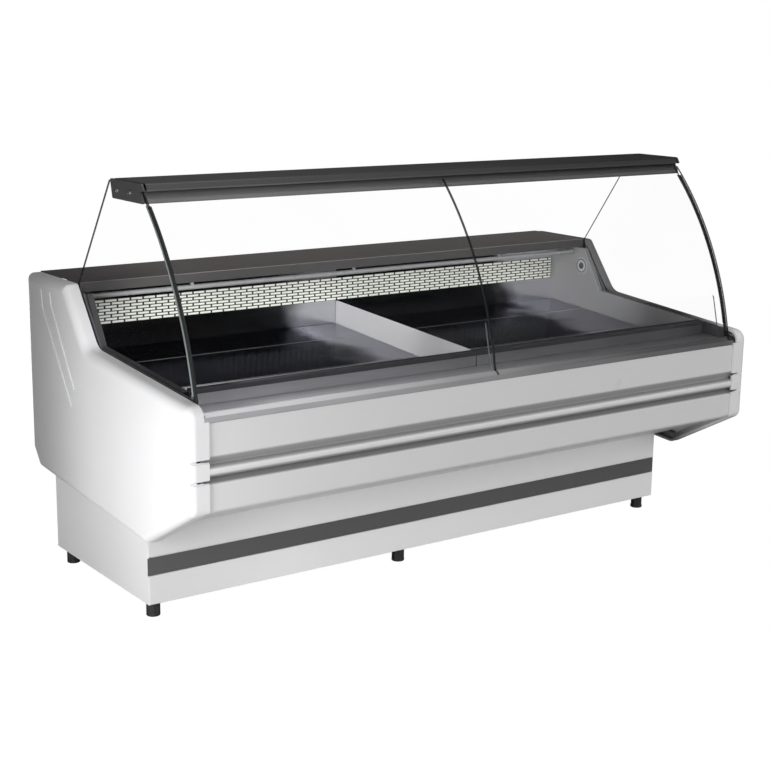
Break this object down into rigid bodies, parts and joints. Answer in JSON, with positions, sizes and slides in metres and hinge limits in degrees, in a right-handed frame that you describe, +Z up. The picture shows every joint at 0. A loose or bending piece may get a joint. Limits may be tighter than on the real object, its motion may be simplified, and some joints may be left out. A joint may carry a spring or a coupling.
{
  "type": "refrigerated deli case",
  "caption": "Serve-over refrigerated deli counter with curved tilting front glass, sloped display deck, moulded end cheeks, rear storage doors and levelling feet.",
  "frame": {"origin": "on the floor, at the centre of the counter's footprint", "axes": "+X along the counter to the customer's right, the customer stands on -Y, +Z up"},
  "size_m": [2.06, 1.016, 1.225],
  "materials": {
    "galvanised": "dull zinc",
    "white_paint": "smooth powder coat",
    "band_grey": "semi-gloss",
    "black_plastic": "fine grain",
    "compressor_paint": "gloss",
    "fin_aluminium": "bare fins",
    "copper": "drawn copper tube",
    "foam": "rigid polyurethane foam",
    "stainless": "fine brushed",
    "grille_plastic": "moulded",
    "dark_paint": "satin",
    "cheek_abs": "satin moulded",
    "liner_grey": "smooth",
    "clear_glass": "clear toughened",
    "clamp_aluminium": "satin anodised",
    "lamp_tube": "satin tube",
    "door_paint": "smooth powder coat",
    "control_plastic": "fine grain",
    "key_plastic": "moulded"
  },
  "bodies": {
    "cabinet": {"base_frame": "galvanised", "condenser_fan_shroud": "galvanised", "evaporator_fan_panel": "galvanised", "door_hinges": "galvanised", "plinth_front": "white_paint", "plinth_sides": "white_paint", "plinth_rear_grille": "white_paint", "tub_shell": "white_paint", "front_panel": "white_paint", "bumper_tube": "white_paint", "plinth_band": "band_grey", "cable_gland": "black_plastic", "lip_edge_strip": "black_plastic", "canopy_end_caps": "black_plastic", "compressor": "compressor_paint", "condenser_coil": "fin_aluminium", "evaporator_coil": "fin_aluminium", "refrigerant_pipes": "copper", "tub_foam": "foam", "tub_liner": "stainless", "deck_bearers": "stainless", "end_walls": "stainless", "bay_divider": "stainless", "rear_wall": "stainless", "front_lip": "stainless", "front_worktop": "stainless", "glass_hinge_brackets": "stainless", "canopy_screws": "stainless", "air_grille": "grille_plastic", "worktop": "dark_paint", "canopy_beam": "dark_paint", "end_cheek_left": "cheek_abs", "end_cheek_right": "cheek_abs", "cheek_liners": "liner_grey", "side_glasses": "clear_glass", "guard_glass": "clear_glass", "under_worktop_lamp": "lamp_tube", "control_panel": "control_plastic"},
    "front_glass_left_body": {"front_glass_left": "clear_glass", "glass_foot_left": "clamp_aluminium"},
    "front_glass_right_body": {"front_glass_right": "clear_glass", "glass_foot_right": "clamp_aluminium"},
    "rear_door_left_body": {"rear_door_left": "door_paint"},
    "rear_door_right_body": {"rear_door_right": "door_paint"},
    "tray_left_rear_body": {"deck_tray_left_rear": "stainless"},
    "tray_left_front_body": {"deck_tray_left_front": "stainless"},
    "tray_right_rear_body": {"deck_tray_right_rear": "stainless"},
    "tray_right_front_body": {"deck_tray_right_front": "stainless"},
    "condenser_rotor_body": {"condenser_fan_rotor": "black_plastic"},
    "evaporator_rotor_left_body": {"evaporator_fan_left": "black_plastic"},
    "evaporator_rotor_right_body": {"evaporator_fan_right": "black_plastic"},
    "power_switch_body": {"power_switch": "black_plastic"},
    "key_up_body": {"key_up": "key_plastic"},
    "key_down_body": {"key_down": "key_plastic"},
    "foot_front_left_body": {"foot_front_left": "black_plastic"},
    "foot_front_middle_body": {"foot_front_middle": "black_plastic"},
    "foot_front_right_body": {"foot_front_right": "black_plastic"},
    "foot_rear_left_body": {"foot_rear_left": "black_plastic"},
    "foot_rear_middle_body": {"foot_rear_middle": "black_plastic"},
    "foot_rear_right_body": {"foot_rear_right": "black_plastic"}
  },
  "joints": [
    {"name": "front_glass_left_tilt", "type": "hinge", "parent": "cabinet", "child": "front_glass_left_body", "pos_m": [-0.49, -0.4785, 0.643], "axis": [1, 0, 0], "range_deg": [0, 52]},
    {"name": "front_glass_right_tilt", "type": "hinge", "parent": "cabinet", "child": "front_glass_right_body", "pos_m": [0.49, -0.4785, 0.643], "axis": [1, 0, 0], "range_deg": [0, 52]},
    {"name": "rear_door_left_swing", "type": "hinge", "parent": "cabinet", "child": "rear_door_left_body", "pos_m": [-0.604, 0.491, 0.512], "axis": [0, 0, 1], "range_deg": [0, 100]},
    {"name": "rear_door_right_swing", "type": "hinge", "parent": "cabinet", "child": "rear_door_right_body", "pos_m": [0.604, 0.491, 0.512], "axis": [0, 0, 1], "range_deg": [-100, 0]},
    {"name": "tray_left_rear_lift", "type": "slide", "parent": "cabinet", "child": "tray_left_rear_body", "axis": [0, 0, 1], "range_m": [0, 0.15]},
    {"name": "tray_left_front_lift", "type": "slide", "parent": "cabinet", "child": "tray_left_front_body", "axis": [0, 0, 1], "range_m": [0, 0.15]},
    {"name": "tray_right_rear_lift", "type": "slide", "parent": "cabinet", "child": "tray_right_rear_body", "axis": [0, 0, 1], "range_m": [0, 0.15]},
    {"name": "tray_right_front_lift", "type": "slide", "parent": "cabinet", "child": "tray_right_front_body", "axis": [0, 0, 1], "range_m": [0, 0.15]},
    {"name": "condenser_fan_spin", "type": "hinge", "parent": "cabinet", "child": "condenser_rotor_body", "pos_m": [0.62, 0.35, 0.173], "axis": [0, 1, 0], "continuous": true},
    {"name": "evaporator_fan_left_spin", "type": "hinge", "parent": "cabinet", "child": "evaporator_rotor_left_body", "pos_m": [-0.47, 0.075, 0.48], "axis": [0, 1, 0], "continuous": true},
    {"name": "evaporator_fan_right_spin", "type": "hinge", "parent": "cabinet", "child": "evaporator_rotor_right_body", "pos_m": [0.47, 0.075, 0.48], "axis": [0, 1, 0], "continuous": true},
    {"name": "power_switch_rock", "type": "hinge", "parent": "cabinet", "child": "power_switch_body", "pos_m": [0.71, 0.482, 0.74], "axis": [1, 0, 0], "range_deg": [-12, 0]},
    {"name": "key_up_press", "type": "slide", "parent": "cabinet", "child": "key_up_body", "axis": [0, -1, 0], "range_m": [0, 0.001], "stiffness_N_per_m": 300, "springref_m": -0.0005},
    {"name": "key_down_press", "type": "slide", "parent": "cabinet", "child": "key_down_body", "axis": [0, -1, 0], "range_m": [0, 0.001], "stiffness_N_per_m": 300, "springref_m": -0.0005},
    {"name": "foot_front_left_screw", "type": "slide", "parent": "cabinet", "child": "foot_front_left_body", "axis": [0, 0, -1], "range_m": [0, 0.015]},
    {"name": "foot_front_middle_screw", "type": "slide", "parent": "cabinet", "child": "foot_front_middle_body", "axis": [0, 0, -1], "range_m": [0, 0.015]},
    {"name": "foot_front_right_screw", "type": "slide", "parent": "cabinet", "child": "foot_front_right_body", "axis": [0, 0, -1], "range_m": [0, 0.015]},
    {"name": "foot_rear_left_screw", "type": "slide", "parent": "cabinet", "child": "foot_rear_left_body", "axis": [0, 0, -1], "range_m": [0, 0.015]},
    {"name": "foot_rear_middle_screw", "type": "slide", "parent": "cabinet", "child": "foot_rear_middle_body", "axis": [0, 0, -1], "range_m": [0, 0.015]},
    {"name": "foot_rear_right_screw", "type": "slide", "parent": "cabinet", "child": "foot_rear_right_body", "axis": [0, 0, -1], "range_m": [0, 0.015]}
  ]
}
